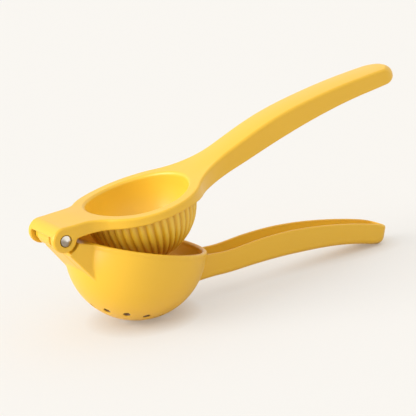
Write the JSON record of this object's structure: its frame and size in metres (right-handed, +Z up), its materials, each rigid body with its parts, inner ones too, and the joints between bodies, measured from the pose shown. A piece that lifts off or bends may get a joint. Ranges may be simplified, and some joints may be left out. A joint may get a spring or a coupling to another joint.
{
  "type": "hinged lemon squeezer",
  "caption": "Hinged hand squeezer: a strainer cup lever and a fluted press bowl lever, enamelled castings that turn on a steel pin at the nose.",
  "frame": {"origin": "on the surface it stands on, straight below the centre of the strainer cup's round bottom, where the cup touches that surface", "axes": "+Z up from the surface, +X from the hinge towards the tips of the handles, +Y along the hinge pin"},
  "size_m": [0.2364, 0.0766, 0.1067],
  "materials": {
    "yellow_enamel": "smooth satin enamel on cast aluminium",
    "steel_pin": "polished domed ends"
  },
  "bodies": {
    "cup_side": {"strainer_cup": "yellow_enamel"},
    "press_side": {"press_lever": "yellow_enamel", "hinge_pin": "steel_pin"}
  },
  "joints": [
    {"name": "press_hinge", "type": "hinge", "parent": "cup_side", "child": "press_side", "pos_m": [-0.0464, 0, 0.05768], "axis": [0, -1, 0], "range_deg": [-13.5, 80]}
  ]
}
